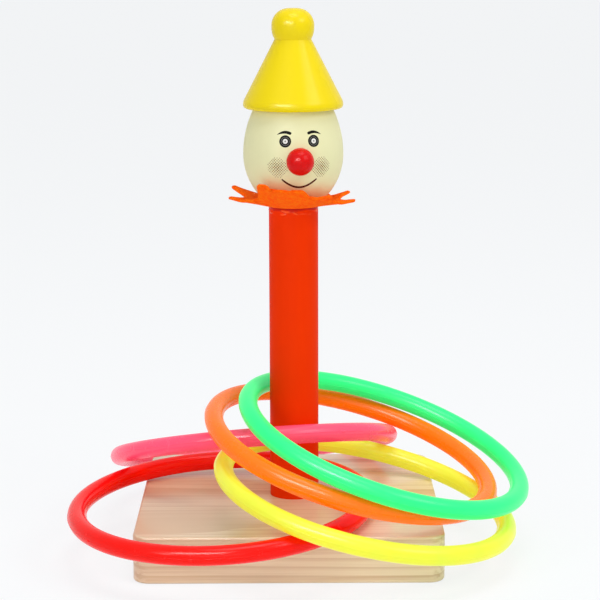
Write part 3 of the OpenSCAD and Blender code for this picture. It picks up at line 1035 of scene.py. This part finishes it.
print("folds:", len(FOLDS), "round a post of", round(2 * POST_R, 1), "mm")

# %% Pucker band
BAND_TOP, BAND_FOOT, BAND_ROWS, BAND_ROUND = 0.08, 4.6, 40, 300
BAND_BACK, SUNK, SWELL, HIGHLIGHT_AT = 0.5, 0.08, 0.1, 0.35

band, loops, crest_highlights, crease_shades = [], [], [], []
depths = [BAND_TOP + (BAND_FOOT - BAND_TOP) * i / (BAND_ROWS - 1) for i in range(BAND_ROWS)]
for k in range(BAND_ROUND):
    angle = 360 * k / BAND_ROUND
    foot = crease_foot(angle)
    rim, crest_highlight, crease = [(POST_R - BAND_BACK, BAND_TOP)], [0.0], [1.0]
    for d in depths:
        height = fold_height(angle, d)
        deep = max(0.0, 1 - (d / foot) ** 2)
        rim.append((POST_R - SUNK + SWELL * min(1.0, 3 * deep) + height, d))
        # Painted highlight on the ridge of a fold, and painted shade in the crease below the felt.
        crest_highlight.append(min(1.0, (height / HIGHLIGHT_AT) ** 2))
        crease.append(deep)
    rim.append((POST_R - BAND_BACK, BAND_FOOT))
    crest_highlights += crest_highlight + [0.0]
    crease_shades += crease + [0.0]
    a = math.radians(angle)
    band += [(r * math.cos(a) * MM, r * math.sin(a) * MM, (POST_TOP - d) * MM) for r, d in rim]
    here, beside = k * len(rim), (k + 1) % BAND_ROUND * len(rim)
    for i in range(len(rim)):
        j = (i + 1) % len(rim)
        loops.append((here + i, here + j, beside + j, beside + i))
puckers = new_object("post_paint_puckers", band, loops, "stand")
for title, values in (("crest_highlight", crest_highlights), ("crease", crease_shades)):
    puckers.data.attributes.new(title, "FLOAT", "POINT").data.foreach_set("value", values)
print("puckers:", len(loops), "faces")

# %% Pucker finish
pucker_paint = finish(
    "post_puckers", paint_tree, {**post_colours, "Gloss": 0.2}, 0.02, Specular_IOR_Level=0.1
)
tree = pucker_paint.node_tree
tone = group_of(pucker_paint).outputs["Colour"]
# The dark tone is painted shade in the crease under the felt, the pale one painted highlight on folds.
for title, colour in (("crease", (0.50, 0.005, 0.0, 1)), ("crest_highlight", (1.0, 0.11, 0.02, 1))):
    amount = add(tree, "ShaderNodeAttribute", attribute_name=title).outputs["Fac"]
    tone = tinted(tree, amount, tone, colour)
tree.links.new(tone, tree.nodes["Principled BSDF"].inputs["Base Color"])
puckers.data.materials.append(pucker_paint)
print("pucker finish:", pucker_paint.name)

# %% [markdown]
# ## The hidden screw
# A countersunk wood screw holds the post from below. Its core is a turned profile, so a line is spun
# round the axis, and the cross is cut in its head with a boolean, as a punch does.

# %% Screw core
low, high = (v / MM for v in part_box("post_screw"))
HEAD_R = (high.x - low.x) / 2
NECK_R, SHANK_R, TIP_R = 2.0, 1.45, 0.08
NECK_END, SHANK_START, TIP_LENGTH = 12, 12.6, 7
RIM_IN, RIM_UP, COUNTERSINK_SHORT, TIP_DROP = 0.3, 0.25, 1.7, 0.2
SPIN_STEPS, SPIN_MERGE = 48, 1e-6

profile = [
    (0.0, low.z), (HEAD_R - RIM_IN, low.z), (HEAD_R, low.z + RIM_UP),
    (NECK_R, low.z + HEAD_R - COUNTERSINK_SHORT), (NECK_R, low.z + NECK_END),
    (SHANK_R, low.z + SHANK_START), (SHANK_R, high.z - TIP_LENGTH),
    (TIP_R, high.z - TIP_DROP), (0.0, high.z - 0.75 * TIP_DROP),
]
work = bmesh.new()
line = [work.verts.new((r * MM, 0, z * MM)) for r, z in profile]
edges = [work.edges.new(pair) for pair in zip(line, line[1:])]
bmesh.ops.spin(
    work, geom=line + edges, cent=(0, 0, 0), axis=(0, 0, 1), angle=2 * math.pi, steps=SPIN_STEPS,
    use_merge=True,
)
screw = new_object("post_screw_cut", [], [], "stand")
close_up(work, screw.data, SPIN_MERGE)
print("screw core:", len(screw.data.polygons), "faces")

# %% Screw cross
ARM, SLOT, DEPTH, CROSS_TURN = 2.5, 0.55, 1.3, 0.2
quarter = [(ARM, -SLOT), (ARM, SLOT), (SLOT, SLOT)]
outline = []
for k in range(4):
    outline += [Matrix.Rotation(k * math.pi / 2 + CROSS_TURN, 2) @ Vector(p) for p in quarter]
count = len(outline)
sides = [(i, (i + 1) % count, (i + 1) % count + count, i + count) for i in range(count)]
cutter_mesh = bpy.data.meshes.new("cross")
cutter_mesh.from_pydata(
    [(p.x * MM, p.y * MM, (low.z + z) * MM) for z in (-DEPTH, DEPTH) for p in outline], [],
    [tuple(range(count))[::-1], tuple(range(count, 2 * count)), *sides],
)
cutter = bpy.data.objects.new("cross", cutter_mesh)
scene.collection.objects.link(cutter)
cut = screw.modifiers.new("cross", "BOOLEAN")
cut.operation, cut.object, cut.solver = "DIFFERENCE", cutter, "EXACT"
bake(screw)
bpy.data.objects.remove(cutter)
print("with its cross:", len(screw.data.polygons), "faces")

# %% [markdown]
# The thread winds round the shank. The Screw modifier could wind it, but a spiral curve swept with a
# small triangle has its turns, length and ridge as plain numbers.

# %% Sweep helpers
def joined(tree, *pieces):
    meeting = add(tree, "GeometryNodeJoinGeometry")
    for piece in pieces:
        tree.links.new(piece, meeting.inputs[0])
    return meeting.outputs["Geometry"]


def circle(tree, around, radius):
    values = {"Resolution": around, "Radius": radius}
    return add(tree, "GeometryNodeCurvePrimitiveCircle", values, mode="RADIUS").outputs["Curve"]


def sweep(tree, path, profile, capped=False):
    values = {"Curve": path, "Profile Curve": profile, "Fill Caps": capped}
    return add(tree, "GeometryNodeCurveToMesh", values).outputs["Mesh"]


print("helpers: joined, circle, sweep")

# %% Screw thread
THREAD_FROM, THREAD_SHORT = 13.2, 7.4

thread_tree, taken, given = new_group(
    "Screw thread", "GeometryNodeTree",
    [("Geometry", "Geometry", None), ("Turns", "Float", 10.0), ("Length", "Float", 0.018),
     ("Start", "Float", 0.0), ("Radius", "Float", 0.0015), ("Ridge", "Float", 0.0005),
     ("Metal", "Material", None)],
    SHAPE,
)
spiral = add(
    thread_tree, "GeometryNodeCurveSpiral",
    {"Resolution": 28, "Rotations": taken["Turns"], "Start Radius": taken["Radius"],
     "End Radius": taken["Radius"], "Height": taken["Length"]},
)
triangle = circle(thread_tree, 3, taken["Ridge"])
ridge = sweep(thread_tree, spiral.outputs["Curve"], triangle, capped=True)
start = add(thread_tree, "ShaderNodeCombineXYZ", {2: taken["Start"]})
moved = add(
    thread_tree, "GeometryNodeTransform", {"Geometry": ridge, "Translation": start.outputs[0]}
)
whole = joined(thread_tree, taken["Geometry"], moved.outputs["Geometry"])
give(thread_tree, given, Geometry=dressed(thread_tree, whole, taken["Metal"]))
thread_length = high.z - low.z - THREAD_FROM - THREAD_SHORT
run_tree(
    screw, thread_tree, Start=(low.z + THREAD_FROM) * MM, Length=thread_length * MM, Metal=steel
)
bake(screw)
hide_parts("post_screw")
print("screw:", len(screw.data.polygons), "faces,", round(thread_length, 1), "mm of thread")

# %% [markdown]
# ## What moulding leaves on a ring
# Each ring was moulded in two halves, which leaves a fine bead round its outer and inner side, and
# was trimmed at the gate, which leaves a small nub on that bead. A bump could paint the bead, but it
# would not break the outline, so it is swept along two circles.
# The centre, the axis and the two radii of a ring are measured from its solid, so the bead follows
# however the ring lies.

# %% Seam tree
seam_tree, taken, given = new_group(
    "Mould seam", "GeometryNodeTree",
    [("Geometry", "Geometry", None), ("Centre", "Vector", None), ("Turn", "Rotation", None),
     ("Outer", "Float", 0.077), ("Inner", "Float", 0.068), ("Bead", "Float", 0.0002),
     ("Plastic", "Material", None)],
    SHAPE,
)
beads = [
    sweep(seam_tree, circle(seam_tree, 180, taken[title]), circle(seam_tree, 6, taken["Bead"]))
    for title in ("Outer", "Inner")
]
laid = add(
    seam_tree, "GeometryNodeTransform",
    {"Geometry": joined(seam_tree, *beads), "Translation": taken["Centre"],
     "Rotation": taken["Turn"]},
)
whole = joined(seam_tree, taken["Geometry"], laid.outputs["Geometry"])
give(seam_tree, given, Geometry=dressed(seam_tree, whole, taken["Plastic"]))
print("tree:", seam_tree.name)

# %% Ring measures
def measure_ring(name):
    spots = np.array([v.co for v in nodes["ring_" + name].data.vertices])
    middle = (spots.min(0) + spots.max(0)) / 2
    axis = Vector(np.linalg.eigh(np.cov((spots - middle).T))[1][:, 0])
    axis = axis if axis.z > 0 else -axis
    across = (Vector((1, 0, 0)) - axis * axis.x).normalized()
    turn = Matrix((across, axis.cross(across), axis)).transposed()
    local = (spots - middle) @ np.array(turn)
    from_axis = np.hypot(local[:, 0], local[:, 1])
    return middle, turn, float(from_axis.max()), float(from_axis.min())


print("the red ring is", round(2 * measure_ring("red")[2] / MM, 1), "mm wide")

# %% Seams
# The direction of each ring's gate, in degrees round the ring.
GATES = {"red": 215.5, "yellow": 60, "pink": 307.5, "orange": 120, "green": 100}
NUB, NUB_SUNK = (0.45, 1.7, 0.7), 0.1
BEAD, BEAD_SUNK = 0.2, 0.06

for name, gate in GATES.items():
    middle, turn, outer, inner = measure_ring(name)
    nub = (
        Matrix.Translation(Vector(middle)) @ turn.to_4x4()
        @ Matrix.Rotation(math.radians(gate), 4, "Z")
        @ Matrix.Translation((outer - NUB_SUNK * MM, 0, 0))
        @ Matrix.Diagonal((*(v * MM for v in NUB), 1))
    )
    work = bmesh.new()
    bmesh.ops.create_uvsphere(work, u_segments=20, v_segments=12, radius=1.0, matrix=nub)
    mark = new_object("seam_" + name, [], [], name + "_ring")
    work.to_mesh(mark.data)
    work.free()
    run_tree(
        mark, seam_tree, Centre=tuple(middle), Turn=tuple(turn.to_euler()),
        Outer=outer - BEAD_SUNK * MM, Inner=inner + BEAD_SUNK * MM, Bead=BEAD * MM,
        Plastic=plastics[name],
    )
    bake(mark)
    mark.data.shade_smooth()
    print("seam_" + name + ":", round((outer + inner) / 2 / MM, 2), "mm to the centre line")
